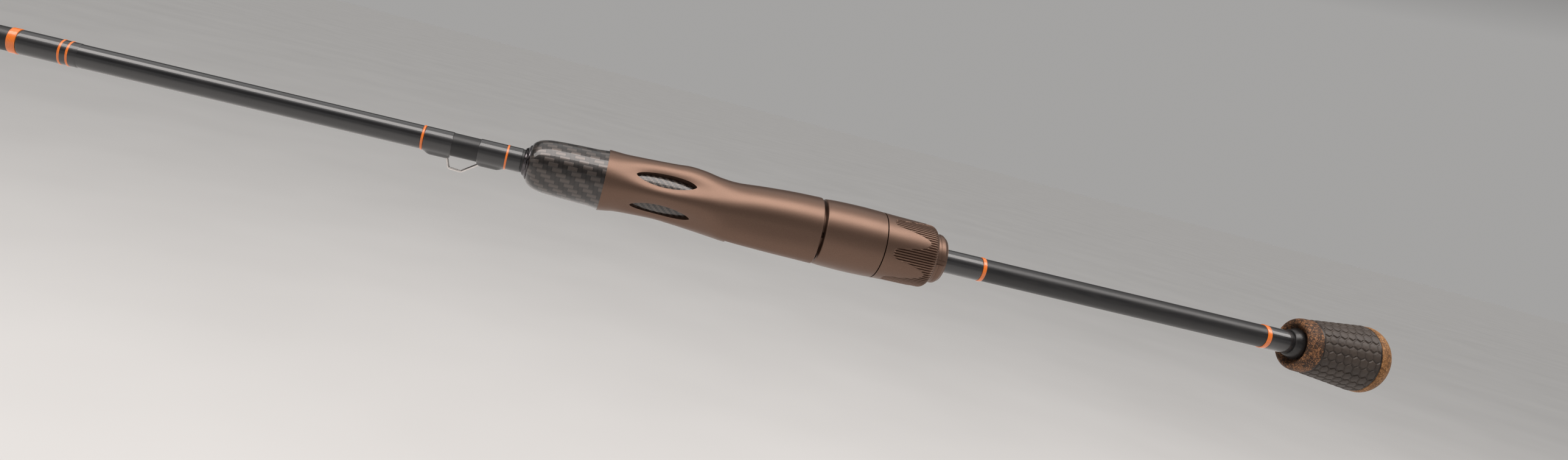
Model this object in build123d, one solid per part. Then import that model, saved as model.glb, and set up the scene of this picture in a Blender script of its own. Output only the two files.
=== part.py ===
from build123d import *
import math
import os

# Spinning rod, 6 ft 6 in, one piece.  All sizes are in millimetres.
# The rod's axis is the X axis.  The origin is the centre of the butt end, the tip points along -X, and the
# reel, the guides and the hook keeper hang on the -Z side.  "Station" means the distance from the butt end,
# so a piece at station s sits at x = -s.

# ---- driving dimensions: blank ----
ROD_LENGTH = 1981.0
BLANK_BUTT_R = 4.6
BLANK_TIP_R = 0.75
BLANK_WALL_BUTT = 1.1
BLANK_WALL_TIP = 0.45
BLANK_BUTT_STATION = 3.0
TIP_TOP_OVERHANG = 6.0

# ---- driving dimensions: finishing threads ----
THREAD_THICKNESS = 0.20
BAND_THICKNESS = 0.27
COAT_THICKNESS = 0.10
THIN_BAND_WIDTH = 0.8
FRONT_WRAP_REAR = 483.6
FRONT_WRAP_LENGTH = 16.3
FRONT_BAND_WIDTH = 2.4
TWIN_BANDS_AHEAD = (2.4, 4.6)
SEAT_WRAP_GAP = 0.4
SEAT_WRAP_LENGTH = 15.85
SEAT_BAND_WIDTH = 1.5
KNOB_WRAP_GAP = 0.6
KNOB_WRAP_LENGTH = 10.2
KNOB_BAND_WIDTH = 2.0

# ---- driving dimensions: hook keeper (distances are ahead of the winding check's front) ----
KEEPER_WIRE_R = 0.42
KEEPER_DROP = 3.9
KEEPER_DROP_SLOPE = 0.3
KEEPER_BEND_R = 0.9
KEEPER_FOOT = 5.5
KEEPER_FOOT_GAP = 0.02
KEEPER_WRAP_GAP = 0.7
KEEPER_REAR_BAND_AHEAD = 5.6
KEEPER_REAR_LEG_AHEAD = 13.7
KEEPER_BARE_REAR_AHEAD = 14.8
KEEPER_REAR_CORNER_AHEAD = 19.0
KEEPER_FRONT_CORNER_AHEAD = 23.1
KEEPER_BARE_FRONT_AHEAD = 23.3
KEEPER_FRONT_LEG_AHEAD = 24.3
KEEPER_FRONT_BAND_AHEAD = 32.7

# ---- driving dimensions: handle arbor, winding check and foregrip ----
ARBOR_TUBE_R = 7.6
ARBOR_TUBE_WALL = 0.8
ARBOR_TUBE_IN_GRIP = 12.1
BUSHING_LENGTH = 8.0
BUSHING_INSET = 7.0
CHECK_LENGTH = 1.7
CHECK_FRONT_WALL = 0.6
CHECK_LIP = 0.2
FOREGRIP_FRONT = 347.2
FOREGRIP_LENGTH = 25.3
FOREGRIP_SKIN = 0.8
# share of the length, height above the arbor tube
FOREGRIP_SHAPE = ((0.0, -1.9), (0.05, -0.1), (0.12, 0.85), (0.26, 1.55), (0.55, 2.0), (0.85, 2.3), (1.0, 2.7))

# ---- driving dimensions: reel seat ----
SEAT_BODY_LENGTH = 76.7
# share of the length, height above the arbor tube at the top and at the bottom
SEAT_SHAPE = (
    (0.0, 3.05, 2.9), (0.09, 2.9, 2.0), (0.24, 3.6, 1.7), (0.37, 4.15, 2.3), (0.44, 3.75, 2.8),
    (0.52, 2.75, 3.3), (0.60, 2.5, 3.5), (0.72, 3.35, 3.7), (0.86, 4.0, 3.9), (1.0, 4.4, 4.4),
)
BARREL_WALL = 1.5
BARREL_PAST_NUT = 4.3
DECK_WALL = 0.7
DECK_LENGTH = 31.8
DECK_RELIEF = 0.2
BARREL_DECK_LENGTH = 18.2
FOOT_WIDTH = 14.0
FOOT_TIP_WIDTH = 7.2
POCKET_DEPTH = 9.0
POCKET_HEIGHT = 1.2
RAIL_WIDTH = 1.2
RAIL_HEIGHT_FRONT = 1.9
RAIL_HEIGHT_REAR = 2.4
RAIL_ROOT_Z = 5.0
WINDOW_BEHIND_GRIP = 20.5
WINDOW_LENGTH = 20.9
WINDOW_WIDTH = 5.0
WINDOW_ANGLE = 38.0
SCOOP_LENGTH = 33.0
SCOOP_WIDTH = 11.5
SCOOP_DEPTH = 1.2
SCOOP_CENTRE_HEIGHT = 4.3
KEYWAY_WIDTH = 1.7
KEYWAY_DEPTH = 0.8
KEYWAY_FROM_SHOULDER = 0.2
KEY_SIDE_FIT = 0.15
KEY_TIP_FIT = 0.25

# ---- driving dimensions: sliding hood and locking nut (walls are measured out from the barrel) ----
RUNNING_FIT = 0.08
LOOSE_FIT = 0.3
HOOD_GAP = 1.2
HOOD_LENGTH = 22.6
HOOD_FRONT_WALL = 2.65
HOOD_LIP_LENGTH = 1.2
HOOD_LIP_RISE = 0.22
HOOD_FULL_WALL = 3.18
HOOD_FULL_AT = 13.5
HOOD_REAR_WALL = 3.0
HOOD_POCKET_DEPTH = 9.0
HOOD_POCKET_WALL = 0.9
NUT_LENGTH = 20.5
NUT_REAR_WALL = 2.65
NUT_EDGE_ROUND = 2.2
NECK_LENGTH = 3.0
NECK_WALL = 1.4
PETALS = 6
RIBS_PER_PETAL = 13
RIB_GROOVE_R = 0.30
RIB_GROOVE_PROUD = 0.12
RIB_START = 3.1
PETAL_TIP_START = 15.9
PETAL_CURVE = 1.6

# ---- driving dimensions: butt knob ----
KNOB_FRONT = 40.0
FRONT_RING_LENGTH = 6.3
FRONT_RING_ROUND = 1.6
FRONT_RING_SHOULDER = 0.6
ACCENT_RING_LENGTH = 0.6
ACCENT_RING_INSET = 0.12
END_CAP_LENGTH = 8.1
KNOB_FRONT_R = 10.8
KNOB_REAR_R = 13.5
SLEEVE_THICKNESS = 1.6
DISH_DEPTH = 2.2
DISH_RIM_R = 8.7
DISH_FLOOR_R = 6.8
KNOB_CHECK_R = 6.5
KNOB_CHECK_PROUD = 2.2
KNOB_CHECK_RIM_DEPTH = 0.4
KNOB_CHECK_WALL = 0.6
END_ROUND = 6.0
END_SWELL = 0.25
END_SHOULDER = 0.3

# ---- driving dimensions: line guides ----
# place: share of the free blank from the front wrap to the tip; size: outside of the ceramic ring;
# bore: its hole; height: blank surface to ring centre; foot: length of each foot; wire: radius of the legs
GUIDES = (
    {"place": 0.186, "size": 18.6, "bore": 15.0, "height": 26.0, "feet": 2, "foot": 17.0, "wire": 0.75},
    {"place": 0.383, "size": 11.0, "bore": 8.6, "height": 17.0, "feet": 2, "foot": 13.0, "wire": 0.68},
    {"place": 0.537, "size": 7.2, "bore": 5.4, "height": 12.0, "feet": 2, "foot": 10.0, "wire": 0.55},
    {"place": 0.666, "size": 6.2, "bore": 4.6, "height": 9.5, "feet": 1, "foot": 9.0, "wire": 0.50},
    {"place": 0.768, "size": 5.2, "bore": 3.8, "height": 8.0, "feet": 1, "foot": 8.5, "wire": 0.45},
    {"place": 0.854, "size": 5.2, "bore": 3.8, "height": 7.5, "feet": 1, "foot": 8.5, "wire": 0.45},
    {"place": 0.931, "size": 5.2, "bore": 3.8, "height": 7.0, "feet": 1, "foot": 8.0, "wire": 0.45},
)
RING_LENGTH = 1.9
FRAME_LENGTH = 1.3
RING_EDGE_SHARE = 0.2
LEG_ROOT_WIRES = 1.2
LEG_REACH = 0.62
LEG_SPREAD = 38.0
KNEE_INSET = 0.8
KNEE_HALF_GAP = 0.45
FOOT_THICKNESS = 0.7
FOOT_HALF_WIDTH = 1.35
FOOT_COVER = 0.35
WRAP_BEFORE_FOOT = 1.5
WRAP_PAST_FOOT = 3.0
GUIDE_BAND_WIDTH = 0.8

# ---- driving dimensions: tip top ----
TIP_TUBE_LENGTH = 9.0
TIP_TUBE_WALL = 0.35
TIP_TUBE_END = 0.5
TIP_RING_SIZE = 5.2
TIP_RING_BORE = 3.8
TIP_RING_LENGTH = 1.6
TIP_FRAME_LENGTH = 1.0
TIP_RING_DROP = 4.2
TIP_WIRE_R = 0.45
TIP_ROOT_INSET = 1.35
TIP_ROOT_SHARE = 0.8
TIP_WRAP_LENGTH = 5.0

# a hair's overlap that joins two solids
EPS = 0.01
# how far a cutting solid runs past the face that it cuts
CUT_PAST = 1.0
# how far a clearing drum reaches each way along the blank from a guide or the tip
BLANK_REACH = 60.0

# ---- stations and radii worked out from the driving dimensions ----
CHECK_FRONT = FOREGRIP_FRONT + CHECK_LENGTH
KEEPER_FRONT_BAND = CHECK_FRONT + KEEPER_FRONT_BAND_AHEAD
KEEPER_REAR_BAND = CHECK_FRONT + KEEPER_REAR_BAND_AHEAD
FOREGRIP_REAR = FOREGRIP_FRONT - FOREGRIP_LENGTH
ARBOR_TUBE_FRONT = FOREGRIP_REAR + ARBOR_TUBE_IN_GRIP
WINDOW_STATION = FOREGRIP_REAR - WINDOW_BEHIND_GRIP
SEAT_REAR = FOREGRIP_REAR - SEAT_BODY_LENGTH
DECK_FRONT = SEAT_REAR + DECK_LENGTH
HOOD_FRONT = SEAT_REAR - HOOD_GAP
HOOD_REAR = HOOD_FRONT - HOOD_LENGTH
NUT_FRONT = HOOD_REAR - LOOSE_FIT
NUT_REAR = NUT_FRONT - NUT_LENGTH
BARREL_END = NUT_REAR - BARREL_PAST_NUT
BARREL_R = ARBOR_TUBE_R + BARREL_WALL
DECK_Z = ARBOR_TUBE_R + DECK_WALL
SLIDING_BORE_R = BARREL_R + RUNNING_FIT
NECK_R = SLIDING_BORE_R + NECK_WALL
HOOD_REAR_R = BARREL_R + HOOD_REAR_WALL
NUT_REAR_R = BARREL_R + NUT_REAR_WALL
KNOB_CHECK_FRONT = KNOB_FRONT + KNOB_CHECK_PROUD


# ---- helpers ----
def blank_r(station):
    """Outside radius of the tapered blank at a station."""
    share = station / ROD_LENGTH
    return BLANK_BUTT_R + (BLANK_TIP_R - BLANK_BUTT_R) * share


def blank_bore_r(station):
    share = station / ROD_LENGTH
    wall = BLANK_WALL_BUTT + (BLANK_WALL_TIP - BLANK_WALL_BUTT) * share
    return blank_r(station) - wall


def lathe(outline):
    """Turn a closed outline of (station, radius) points about the rod's axis."""
    points = [(-station, radius) for station, radius in outline]
    return revolve(make_face(Polyline(*points, close=True)), Axis.X)


def turned(front, rear, outer_front, outer_rear, inner_front, inner_rear):
    """A tapered ring between two stations."""
    return lathe(((front, inner_front), (rear, inner_rear), (rear, outer_rear), (front, outer_front)))


def sleeve(front, rear, thickness):
    """A thin sleeve of even thickness that follows the blank's taper."""
    front_r = blank_r(front)
    rear_r = blank_r(rear)
    return turned(front, rear, front_r + thickness, rear_r + thickness, front_r, rear_r)


def band(rear, width):
    """A decorative thread band that starts at its rear station."""
    return sleeve(rear + width, rear, BAND_THICKNESS)


def drum(front, rear, radius):
    """A plain cylinder on the rod's axis."""
    return lathe(((front, 0), (rear, 0), (rear, radius), (front, radius)))


def drum_of_blank(front, rear):
    """The space that the blank takes between two stations."""
    return lathe(((front, 0), (rear, 0), (rear, blank_r(rear)), (front, blank_r(front))))


def smooth_lathe(outer, inner):
    """Turn a piece whose outer line is a smooth curve and whose inner line is straight runs."""
    top = Spline(*[(-station, radius) for station, radius in outer])
    path = [top @ 1] + [(-station, radius) for station, radius in inner] + [top @ 0]
    return revolve(make_face([top, Polyline(*path)]), Axis.X)


def block(front, rear, half_width, z_low, z_high):
    """A box that spans two stations."""
    box = Box(front - rear, 2 * half_width, z_high - z_low)
    return Pos(-(front + rear) / 2, 0, (z_low + z_high) / 2) * box


def strut(start, end, radius):
    """A round bar between two points with ball ends."""
    first = Vector(*start)
    span = Vector(*end) - first
    align = (Align.CENTER, Align.CENTER, Align.MIN)
    bar = Plane(origin=first, z_dir=span) * Cylinder(radius, span.length, align=align)
    return bar + Pos(*start) * Sphere(radius) + Pos(*end) * Sphere(radius)


def cross_circle(station, lift, radius):
    """A circle across the rod, its centre lifted off the axis."""
    return Plane(origin=(-station, 0, lift), x_dir=(0, 1, 0), z_dir=(1, 0, 0)) * Circle(radius)


def hump_wrap(front, rear, cover_depth, foot):
    """Thread over a foot that lies along the underside: a round sleeve set a little low."""
    radius_rise = (THREAD_THICKNESS + cover_depth) / 2
    lift = (THREAD_THICKNESS - cover_depth) / 2
    pieces = [cross_circle(station, lift, blank_r(station) + radius_rise) for station in (front, rear)]
    return loft(pieces) - drum_of_blank(front + CUT_PAST, rear - CUT_PAST) - foot


# ---- blank and finishing ----
def rod_blank():
    front = ROD_LENGTH - TIP_TOP_OVERHANG
    rear = BLANK_BUTT_STATION
    return turned(front, rear, blank_r(front), blank_r(rear), blank_bore_r(front), blank_bore_r(rear))


def twin_band_rears():
    return [FRONT_WRAP_REAR + ahead - THIN_BAND_WIDTH / 2 for ahead in TWIN_BANDS_AHEAD]


def front_wrap():
    wrap = sleeve(FRONT_WRAP_REAR + FRONT_WRAP_LENGTH, FRONT_WRAP_REAR, THREAD_THICKNESS)
    for rear in twin_band_rears():
        wrap -= sleeve(rear + THIN_BAND_WIDTH, rear, BAND_THICKNESS)
    return wrap


def front_wide_band():
    return band(FRONT_WRAP_REAR + FRONT_WRAP_LENGTH, FRONT_BAND_WIDTH)


def front_twin_bands():
    return Compound(children=[band(rear, THIN_BAND_WIDTH) for rear in twin_band_rears()])


def keeper_bands():
    middles = (KEEPER_FRONT_BAND, KEEPER_REAR_BAND)
    return Compound(children=[band(middle - THIN_BAND_WIDTH / 2, THIN_BAND_WIDTH) for middle in middles])


def label_coat():
    return sleeve(FRONT_WRAP_REAR, KEEPER_FRONT_BAND + THIN_BAND_WIDTH / 2, COAT_THICKNESS)


# ---- hook keeper ----
def under_blank(ahead, gap):
    """A wire's centre under the blank, at a distance ahead of the winding check."""
    station = CHECK_FRONT + ahead
    return (-station, 0, -(blank_r(station) + KEEPER_WIRE_R + gap))


def hook_keeper():
    points = (
        under_blank(KEEPER_FRONT_LEG_AHEAD + KEEPER_FOOT, KEEPER_FOOT_GAP),
        under_blank(KEEPER_FRONT_LEG_AHEAD, KEEPER_FOOT_GAP),
        under_blank(KEEPER_FRONT_CORNER_AHEAD, KEEPER_DROP - KEEPER_DROP_SLOPE),
        under_blank(KEEPER_REAR_CORNER_AHEAD, KEEPER_DROP),
        under_blank(KEEPER_REAR_LEG_AHEAD, KEEPER_FOOT_GAP),
        under_blank(KEEPER_REAR_LEG_AHEAD - KEEPER_FOOT, KEEPER_FOOT_GAP),
    )
    path = FilletPolyline(*points, radius=KEEPER_BEND_R)
    return sweep(Plane(origin=path @ 0, z_dir=path % 0) * Circle(KEEPER_WIRE_R), path=path)


def keeper_wrap(front, rear, keeper):
    return hump_wrap(front, rear, 2 * KEEPER_WIRE_R + FOOT_COVER, keeper)


def keeper_wrap_front(keeper):
    return keeper_wrap(KEEPER_FRONT_BAND - THIN_BAND_WIDTH / 2, CHECK_FRONT + KEEPER_BARE_FRONT_AHEAD, keeper)


def keeper_wrap_rear(keeper):
    """Thread over the rear foot, and on past the rear band to the winding check."""
    half_band = THIN_BAND_WIDTH / 2
    over_foot = keeper_wrap(CHECK_FRONT + KEEPER_BARE_REAR_AHEAD, KEEPER_REAR_BAND + half_band, keeper)
    tail = sleeve(KEEPER_REAR_BAND - half_band, CHECK_FRONT + KEEPER_WRAP_GAP, THREAD_THICKNESS)
    return Compound(children=[over_foot, tail])


# ---- arbor and foregrip ----
def carbon_arbor_tube():
    bore = ARBOR_TUBE_R - ARBOR_TUBE_WALL
    return turned(ARBOR_TUBE_FRONT, BARREL_END, ARBOR_TUBE_R, ARBOR_TUBE_R, bore, bore)


def arbor_bushings():
    """Three rings that centre the tube on the blank: one near each end and one half way."""
    outer = ARBOR_TUBE_R - ARBOR_TUBE_WALL
    first = ARBOR_TUBE_FRONT - BUSHING_INSET
    last = BARREL_END + BUSHING_INSET
    rings = []
    for middle in (first, (first + last) / 2, last):
        front = middle + BUSHING_LENGTH / 2
        rear = middle - BUSHING_LENGTH / 2
        rings.append(turned(front, rear, outer, outer, blank_r(front), blank_r(rear)))
    return Compound(children=rings)


def front_winding_check():
    front_r = blank_r(CHECK_FRONT)
    rear_r = blank_r(FOREGRIP_FRONT)
    lip_r = foregrip_line(0)[0][1] + CHECK_LIP
    return turned(CHECK_FRONT, FOREGRIP_FRONT, front_r + CHECK_FRONT_WALL, lip_r, front_r, rear_r)


def foregrip_line(inset):
    """The foregrip's outer line, moved inwards by inset."""
    line = []
    for share, height in FOREGRIP_SHAPE:
        line.append((FOREGRIP_FRONT - share * FOREGRIP_LENGTH, ARBOR_TUBE_R + height - inset))
    return line


def foregrip_core():
    inner = ((FOREGRIP_REAR, ARBOR_TUBE_R), (ARBOR_TUBE_FRONT, ARBOR_TUBE_R),
             (ARBOR_TUBE_FRONT, blank_r(ARBOR_TUBE_FRONT)), (FOREGRIP_FRONT, blank_r(FOREGRIP_FRONT)))
    return smooth_lathe(foregrip_line(FOREGRIP_SKIN), inner)


def foregrip_shell():
    inner = ((FOREGRIP_REAR, ARBOR_TUBE_R), (FOREGRIP_FRONT, blank_r(FOREGRIP_FRONT)))
    tube = drum(ARBOR_TUBE_FRONT, FOREGRIP_REAR, ARBOR_TUBE_R)
    return smooth_lathe(foregrip_line(0), inner) - foregrip_core() - tube


# ---- reel seat ----
def seat_outside():
    circles = []
    for share, top, bottom in SEAT_SHAPE:
        station = FOREGRIP_REAR - share * SEAT_BODY_LENGTH
        circles.append(cross_circle(station, (top - bottom) / 2, ARBOR_TUBE_R + (top + bottom) / 2))
    return loft(circles)


def window_angles():
    return (WINDOW_ANGLE, -WINDOW_ANGLE, 180 - WINDOW_ANGLE, 180 + WINDOW_ANGLE)


def radial_plane(station, angle, radius):
    """A plane on the seat's side, square to the radius, with its x along the rod."""
    turn = math.radians(angle)
    outward = (0, -math.cos(turn), math.sin(turn))
    return Plane(origin=(-station, outward[1] * radius, outward[2] * radius), x_dir=(1, 0, 0), z_dir=outward)


def window_cutter(angle):
    """A lens-shaped prism from inside the bore out through the wall."""
    half = WINDOW_LENGTH / 2
    upper = ThreePointArc((-half, 0), (0, WINDOW_WIDTH / 2), (half, 0))
    lower = ThreePointArc((half, 0), (0, -WINDOW_WIDTH / 2), (-half, 0))
    face = make_face([upper, lower])
    return extrude(radial_plane(WINDOW_STATION, angle, ARBOR_TUBE_R - ARBOR_TUBE_WALL) * face, 2 * BARREL_R)


def scoop_cutter(angle):
    ball = scale(Sphere(1.0), by=(SCOOP_LENGTH / 2, SCOOP_WIDTH / 2, 2 * SCOOP_DEPTH))
    return radial_plane(WINDOW_STATION, angle, ARBOR_TUBE_R + SCOOP_CENTRE_HEIGHT) * ball


def keyway_cutter():
    """Two grooves along the barrel's sides, open at its rear end."""
    front = SEAT_REAR - HOOD_GAP + KEYWAY_FROM_SHOULDER
    bar = block(front, BARREL_END - CUT_PAST, 2 * BARREL_R, -KEYWAY_WIDTH / 2, KEYWAY_WIDTH / 2)
    return bar - drum(front + CUT_PAST, BARREL_END - 2 * CUT_PAST, BARREL_R - KEYWAY_DEPTH)


def side_rails():
    """Two low walls beside the deck, a little taller towards the hood."""
    front_low = -DECK_Z - RAIL_HEIGHT_FRONT
    rear_low = -DECK_Z - RAIL_HEIGHT_REAR
    outline = Polyline((-DECK_FRONT, -RAIL_ROOT_Z), (-SEAT_REAR, -RAIL_ROOT_Z), (-SEAT_REAR, rear_low),
                       (-DECK_FRONT, front_low), close=True)
    rail = extrude(Plane.XZ * make_face(outline), RAIL_WIDTH)
    near = Pos(0, -FOOT_WIDTH / 2, 0) * rail
    return [near, mirror(near, about=Plane.XZ)]


def reel_seat_body():
    """Body and barrel in one moulding, with a railed deck and a fixed pocket for the reel's foot."""
    body = seat_outside() + side_rails() + drum(SEAT_REAR + EPS, BARREL_END, BARREL_R)
    body -= [scoop_cutter(angle) for angle in window_angles()]
    body -= drum(FOREGRIP_REAR + CUT_PAST, BARREL_END - CUT_PAST, ARBOR_TUBE_R)
    body -= [window_cutter(angle) for angle in window_angles()]
    below = -2 * BARREL_R
    relieved = -DECK_Z + DECK_RELIEF
    body -= block(DECK_FRONT, SEAT_REAR, FOOT_WIDTH / 2, below, -DECK_Z)
    body -= block(SEAT_REAR, SEAT_REAR - BARREL_DECK_LENGTH, FOOT_WIDTH / 2, below, relieved)
    pocket_front = DECK_FRONT + POCKET_DEPTH
    pocket_low = -DECK_Z - POCKET_HEIGHT
    body -= block(pocket_front, DECK_FRONT - EPS, FOOT_TIP_WIDTH / 2, pocket_low, relieved)
    return body - keyway_cutter()


# ---- sliding hood ----
def sliding_hood():
    front_r = BARREL_R + HOOD_FRONT_WALL
    full_r = BARREL_R + HOOD_FULL_WALL
    outer = ((HOOD_FRONT, front_r), (HOOD_FRONT - HOOD_LIP_LENGTH, front_r + HOOD_LIP_RISE),
             (HOOD_FRONT - HOOD_FULL_AT, full_r), (HOOD_REAR, HOOD_REAR_R))
    hood = smooth_lathe(outer, ((HOOD_REAR, SLIDING_BORE_R), (HOOD_FRONT, SLIDING_BORE_R)))
    hood -= drum(HOOD_REAR + NECK_LENGTH + LOOSE_FIT, HOOD_REAR - CUT_PAST, NECK_R + LOOSE_FIT)
    pocket_front = HOOD_FRONT + CUT_PAST
    pocket_rear = HOOD_FRONT - HOOD_POCKET_DEPTH
    pocket = drum(pocket_front, pocket_rear, front_r - HOOD_POCKET_WALL)
    hood -= pocket & block(pocket_front, pocket_rear, FOOT_WIDTH / 2, -2 * BARREL_R, 0)
    return hood + hood_keys()


def hood_keys():
    """Two small keys that slide in the barrel's keyways and stop the hood from turning."""
    front = HOOD_FRONT - HOOD_POCKET_DEPTH
    rear = HOOD_REAR + NECK_LENGTH + 2 * LOOSE_FIT
    half_width = KEYWAY_WIDTH / 2 - KEY_SIDE_FIT
    bar = block(front, rear, SLIDING_BORE_R + RUNNING_FIT, -half_width, half_width)
    return bar - drum(front + CUT_PAST, rear - CUT_PAST, BARREL_R - KEYWAY_DEPTH + KEY_TIP_FIT)


# ---- locking nut ----
def petal_edge(share):
    """Front end of the rib grooves at a place between two petal tips, 0 at a valley and 1 at a tip."""
    return NUT_FRONT - RIB_START - (PETAL_TIP_START - RIB_START) * share ** PETAL_CURVE


def rib_grooves():
    """Straight grooves side by side, each starting where the petal over it ends."""
    count = PETALS * RIBS_PER_PETAL
    radius = NUT_REAR_R + RIB_GROOVE_PROUD
    cutters = []
    for index in range(count):
        angle = index * 360 / count
        sector = (angle * PETALS / 360 + 0.5) % 1 - 0.5
        front = petal_edge(abs(2 * sector))
        turn = math.radians(angle)
        y = -math.cos(turn) * radius
        z = math.sin(turn) * radius
        cutters.append(strut((-front, y, z), (-NUT_REAR + CUT_PAST, y, z), RIB_GROOVE_R))
    return cutters


def locking_nut():
    corner_drop = NUT_EDGE_ROUND * (1 - math.sqrt(0.5))
    top = Line((-NUT_FRONT, HOOD_REAR_R), (-NUT_REAR - NUT_EDGE_ROUND, NUT_REAR_R))
    corner = ThreePointArc(top @ 1, (-NUT_REAR - corner_drop, NUT_REAR_R - corner_drop),
                           (-NUT_REAR, NUT_REAR_R - NUT_EDGE_ROUND))
    neck_front = NUT_FRONT + NECK_LENGTH
    rest = Polyline(corner @ 1, (-NUT_REAR, SLIDING_BORE_R), (-neck_front, SLIDING_BORE_R),
                    (-neck_front, NECK_R), (-NUT_FRONT, NECK_R), top @ 0)
    return revolve(make_face([top, corner, rest]), Axis.X) - rib_grooves()


# ---- wraps behind the seat and before the knob ----
def seat_wrap_rear():
    return BARREL_END - SEAT_WRAP_GAP - SEAT_WRAP_LENGTH


def seat_rear_wrap():
    return sleeve(BARREL_END - SEAT_WRAP_GAP, seat_wrap_rear(), THREAD_THICKNESS)


def seat_rear_band():
    return band(seat_wrap_rear() - SEAT_BAND_WIDTH, SEAT_BAND_WIDTH)


def knob_wrap_front():
    return KNOB_CHECK_FRONT + KNOB_WRAP_GAP + KNOB_WRAP_LENGTH


def knob_front_wrap():
    return sleeve(knob_wrap_front(), KNOB_CHECK_FRONT + KNOB_WRAP_GAP, THREAD_THICKNESS)


def knob_front_band():
    return band(knob_wrap_front(), KNOB_BAND_WIDTH)


# ---- butt knob ----
def knob_stations():
    """Stations where the knob's pieces meet, from front to rear."""
    ring_rear = KNOB_FRONT - FRONT_RING_LENGTH
    sleeve_front = ring_rear - ACCENT_RING_LENGTH
    sleeve_rear = END_CAP_LENGTH + ACCENT_RING_LENGTH
    return ring_rear, sleeve_front, sleeve_rear


def knob_r(station):
    ring_rear, _, _ = knob_stations()
    share = (ring_rear - station) / (ring_rear - END_CAP_LENGTH)
    return KNOB_FRONT_R + (KNOB_REAR_R - KNOB_FRONT_R) * share


def knob_front_ring():
    """Dished ring that carries the winding check in its hollow."""
    rear = knob_stations()[0]
    shoulder = (-KNOB_FRONT + FRONT_RING_ROUND, KNOB_FRONT_R - FRONT_RING_SHOULDER)
    rise = Spline((-KNOB_FRONT, DISH_RIM_R), shoulder, (-rear, KNOB_FRONT_R))
    floor = KNOB_FRONT - DISH_DEPTH
    rest = Polyline(rise @ 1, (-rear, blank_r(rear)), (-floor, blank_r(floor)),
                    (-floor, DISH_FLOOR_R), rise @ 0)
    return revolve(make_face([rise, rest]), Axis.X)


def knob_winding_check():
    floor = KNOB_FRONT - DISH_DEPTH
    front_r = blank_r(KNOB_CHECK_FRONT)
    rim_front = KNOB_FRONT - KNOB_CHECK_RIM_DEPTH
    return lathe(((KNOB_CHECK_FRONT, front_r), (floor, blank_r(floor)), (floor, KNOB_CHECK_R),
                  (rim_front, KNOB_CHECK_R), (KNOB_CHECK_FRONT, front_r + KNOB_CHECK_WALL)))


def accent_ring(front):
    rear = front - ACCENT_RING_LENGTH
    return turned(front, rear, knob_r(front) - ACCENT_RING_INSET, knob_r(rear) - ACCENT_RING_INSET,
                  blank_r(front), blank_r(rear))


def knob_core():
    _, front, rear = knob_stations()
    return turned(front, rear, knob_r(front) - SLEEVE_THICKNESS, knob_r(rear) - SLEEVE_THICKNESS,
                  blank_r(front), blank_r(rear))


def knob_grip_sleeve():
    _, front, rear = knob_stations()
    return turned(front, rear, knob_r(front), knob_r(rear),
                  knob_r(front) - SLEEVE_THICKNESS, knob_r(rear) - SLEEVE_THICKNESS)


def knob_end_cap():
    front = END_CAP_LENGTH
    radius = knob_r(front)
    swell = Spline((-front, radius), (-END_ROUND, radius + END_SWELL),
                   (-END_ROUND * END_SHOULDER, radius - END_ROUND * END_SHOULDER), (0, radius - END_ROUND))
    rest = Polyline(swell @ 1, (0, 0), (-BLANK_BUTT_STATION, 0),
                    (-BLANK_BUTT_STATION, blank_r(BLANK_BUTT_STATION)), (-front, blank_r(front)), swell @ 0)
    return revolve(make_face([swell, rest]), Axis.X)


# ---- line guides ----
def guide_station(guide):
    wrap_front = FRONT_WRAP_REAR + FRONT_WRAP_LENGTH
    return wrap_front + guide["place"] * (ROD_LENGTH - wrap_front)


def guide_centre(guide):
    station = guide_station(guide)
    return (-station, 0, -(blank_r(station) + guide["height"]))


def guide_annulus(outer, inner, width):
    """A ring about an axis along the rod, centred on the origin, with softened edges."""
    section = RectangleRounded(width, outer - inner, RING_EDGE_SHARE * (outer - inner))
    return revolve(Pos(0, (outer + inner) / 2) * section, Axis.X)


def guide_ring(guide):
    return Pos(*guide_centre(guide)) * guide_annulus(guide["size"] / 2, guide["bore"] / 2, RING_LENGTH)


def foot_bar(near, far):
    """A flat foot that lies on the blank's underside between two stations."""
    front, rear = max(near, far), min(near, far)
    low = blank_r(rear) + FOOT_THICKNESS
    bar = block(front, rear, FOOT_HALF_WIDTH, -low, -low / 2)
    return bar - drum_of_blank(front + CUT_PAST, rear - CUT_PAST)


def guide_legs(guide, side):
    """Two bars from the ring's flanks to the foot on one side: -1 towards the tip, 1 towards the butt."""
    x, _, z = guide_centre(guide)
    reach = guide["size"] / 2 + LEG_ROOT_WIRES * guide["wire"]
    spread = math.radians(LEG_SPREAD)
    knee_station = guide_station(guide) - side * (guide["height"] * LEG_REACH + KNEE_INSET)
    knee_z = -(blank_r(knee_station) + FOOT_THICKNESS)
    legs = []
    for flank in (-1, 1):
        start = (x, flank * reach * math.sin(spread), z + reach * math.cos(spread))
        knee = (-knee_station, flank * KNEE_HALF_GAP, knee_z)
        legs.append(strut(start, knee, guide["wire"]))
    return legs


def guide_feet(guide):
    """Foot stations (near the ring, far end) for each foot."""
    sides = (1, -1) if guide["feet"] == 2 else (1,)
    feet = []
    for side in sides:
        near = guide_station(guide) - side * guide["height"] * LEG_REACH
        feet.append((side, near, near - side * guide["foot"]))
    return feet


def guide_frame(guide):
    ring_r = guide["size"] / 2
    frame = Pos(*guide_centre(guide)) * guide_annulus(ring_r + 2 * guide["wire"], ring_r, FRAME_LENGTH)
    for side, near, far in guide_feet(guide):
        frame += [foot_bar(near, far), *guide_legs(guide, side)]
    station = guide_station(guide)
    return frame - drum_of_blank(station + BLANK_REACH, station - BLANK_REACH) - guide_ring(guide)


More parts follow.
